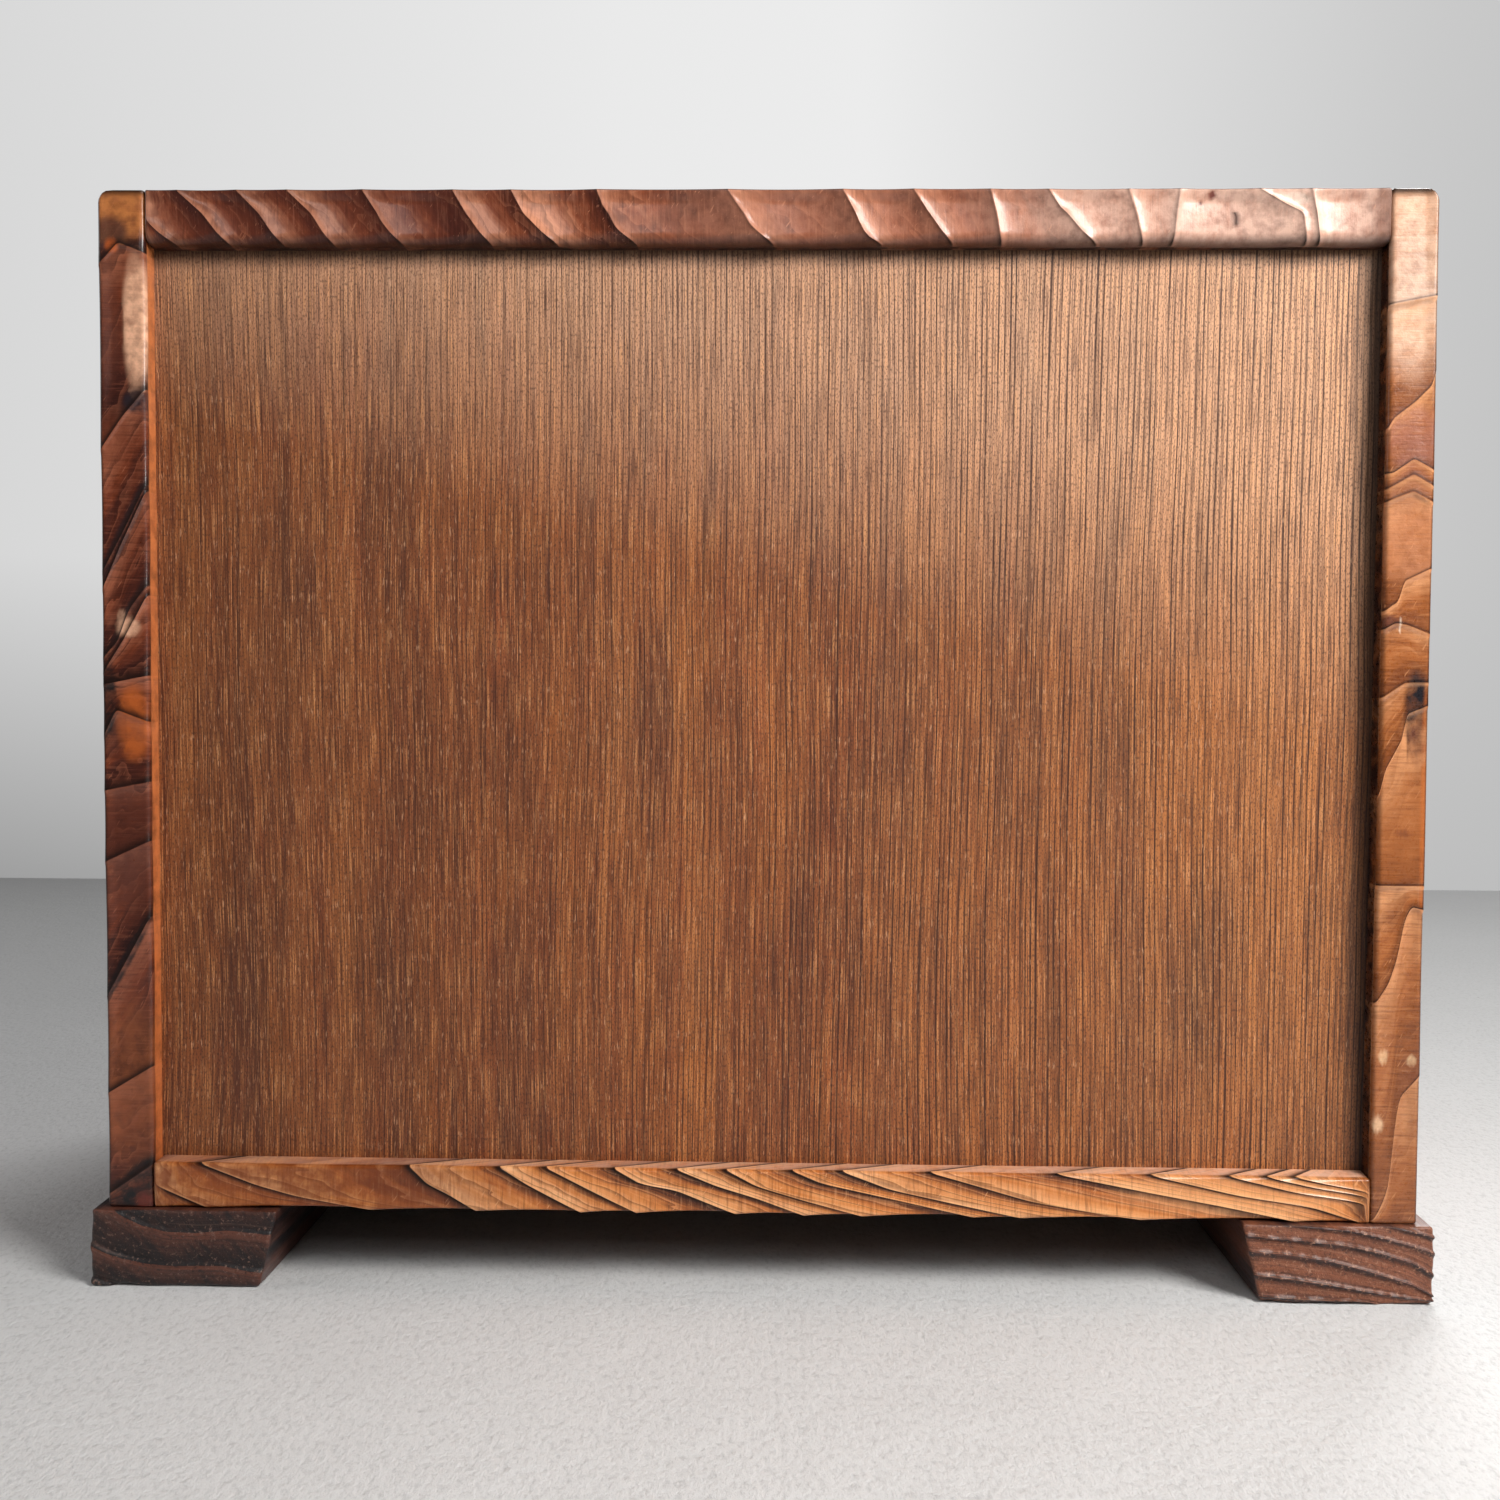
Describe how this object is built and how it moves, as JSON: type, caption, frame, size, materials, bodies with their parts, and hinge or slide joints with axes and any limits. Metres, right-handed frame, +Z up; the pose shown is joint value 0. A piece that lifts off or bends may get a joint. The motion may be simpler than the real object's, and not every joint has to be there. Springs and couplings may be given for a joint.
{
  "type": "tabletop tea cabinet",
  "caption": "Low wooden tabletop cabinet on two skids, with thick gouged-edge boards, a recessed back panel, sliding lattice doors and drawers with bail handles.",
  "frame": {"origin": "middle of the footprint, on the surface that the skids stand on", "axes": "+Z up; -Y out of the front, where the doors and drawers are; +X to the right seen from the front"},
  "size_m": [0.43, 0.256, 0.35],
  "materials": {
    "hewn_cedar": "oiled, gouged edges",
    "skid_cedar": "dark end grain",
    "back_veneer": "fine straight grain, satin",
    "shelf_cedar": "planed",
    "dowel_wood": "plain",
    "door_frame_wood": "oiled",
    "door_panel_wood": "fine straight grain",
    "drawer_front_wood": "oiled",
    "drawer_box_wood": "bare paulownia",
    "black_iron": "blackened",
    "dark_bronze": "patinated"
  },
  "bodies": {
    "case": {"left_side_board": "hewn_cedar", "right_side_board": "hewn_cedar", "top_board": "hewn_cedar", "bottom_board": "hewn_cedar", "back_panel": "back_veneer", "left_skid": "skid_cedar", "right_skid": "skid_cedar", "middle_shelf": "shelf_cedar", "upper_partition": "shelf_cedar", "lower_drawer_shelf": "shelf_cedar", "upper_drawer_shelf": "shelf_cedar", "case_dowels": "dowel_wood", "skid_dowels": "dowel_wood"},
    "left_door": {"left_door_left_stile": "door_frame_wood", "left_door_right_stile": "door_frame_wood", "left_door_bottom_rail": "door_frame_wood", "left_door_top_rail": "door_frame_wood", "left_door_panel": "door_panel_wood", "left_door_lattice_bars": "door_frame_wood", "left_door_finger_pull": "dark_bronze"},
    "right_door": {"right_door_left_stile": "door_frame_wood", "right_door_right_stile": "door_frame_wood", "right_door_bottom_rail": "door_frame_wood", "right_door_top_rail": "door_frame_wood", "right_door_panel": "door_panel_wood", "right_door_lattice_bars": "door_frame_wood", "right_door_finger_pull": "dark_bronze"},
    "lower_drawer": {"lower_drawer_front": "drawer_front_wood", "lower_drawer_left_side": "drawer_box_wood", "lower_drawer_right_side": "drawer_box_wood", "lower_drawer_back": "drawer_box_wood", "lower_drawer_floor": "drawer_box_wood", "lower_drawer_posts": "black_iron"},
    "lower_bail": {"lower_drawer_bail": "black_iron"},
    "middle_drawer": {"middle_drawer_front": "drawer_front_wood", "middle_drawer_left_side": "drawer_box_wood", "middle_drawer_right_side": "drawer_box_wood", "middle_drawer_back": "drawer_box_wood", "middle_drawer_floor": "drawer_box_wood", "middle_drawer_posts": "black_iron"},
    "middle_bail": {"middle_drawer_bail": "black_iron"},
    "upper_drawer": {"upper_drawer_front": "drawer_front_wood", "upper_drawer_left_side": "drawer_box_wood", "upper_drawer_right_side": "drawer_box_wood", "upper_drawer_back": "drawer_box_wood", "upper_drawer_floor": "drawer_box_wood", "upper_drawer_posts": "black_iron"},
    "upper_bail": {"upper_drawer_bail": "black_iron"},
    "wide_drawer": {"wide_drawer_front": "drawer_front_wood", "wide_drawer_left_side": "drawer_box_wood", "wide_drawer_right_side": "drawer_box_wood", "wide_drawer_back": "drawer_box_wood", "wide_drawer_floor": "drawer_box_wood", "wide_drawer_left_posts": "black_iron", "wide_drawer_right_posts": "black_iron"},
    "wide_left_bail": {"wide_drawer_left_bail": "black_iron"},
    "wide_right_bail": {"wide_drawer_right_bail": "black_iron"}
  },
  "joints": [
    {"name": "left_door_slide", "type": "slide", "parent": "case", "child": "left_door", "axis": [1, 0, 0], "range_m": [0, 0.105]},
    {"name": "right_door_slide", "type": "slide", "parent": "case", "child": "right_door", "axis": [1, 0, 0], "range_m": [-0.105, 0]},
    {"name": "lower_drawer_slide", "type": "slide", "parent": "case", "child": "lower_drawer", "axis": [0, -1, 0], "range_m": [0, 0.18]},
    {"name": "lower_bail_swing", "type": "hinge", "parent": "lower_drawer", "child": "lower_bail", "pos_m": [0.122, -0.1235, 0.1748], "axis": [-1, 0, 0], "range_deg": [0, 90]},
    {"name": "middle_drawer_slide", "type": "slide", "parent": "case", "child": "middle_drawer", "axis": [0, -1, 0], "range_m": [0, 0.18]},
    {"name": "middle_bail_swing", "type": "hinge", "parent": "middle_drawer", "child": "middle_bail", "pos_m": [0.122, -0.1235, 0.2438], "axis": [-1, 0, 0], "range_deg": [0, 90]},
    {"name": "upper_drawer_slide", "type": "slide", "parent": "case", "child": "upper_drawer", "axis": [0, -1, 0], "range_m": [0, 0.18]},
    {"name": "upper_bail_swing", "type": "hinge", "parent": "upper_drawer", "child": "upper_bail", "pos_m": [0.122, -0.1235, 0.3128], "axis": [-1, 0, 0], "range_deg": [0, 90]},
    {"name": "wide_drawer_slide", "type": "slide", "parent": "case", "child": "wide_drawer", "axis": [0, -1, 0], "range_m": [0, 0.18]},
    {"name": "wide_left_bail_swing", "type": "hinge", "parent": "wide_drawer", "child": "wide_left_bail", "pos_m": [-0.09725, -0.1235, 0.0903], "axis": [-1, 0, 0], "range_deg": [0, 90]},
    {"name": "wide_right_bail_swing", "type": "hinge", "parent": "wide_drawer", "child": "wide_right_bail", "pos_m": [0.09725, -0.1235, 0.0903], "axis": [-1, 0, 0], "range_deg": [0, 90]}
  ]
}
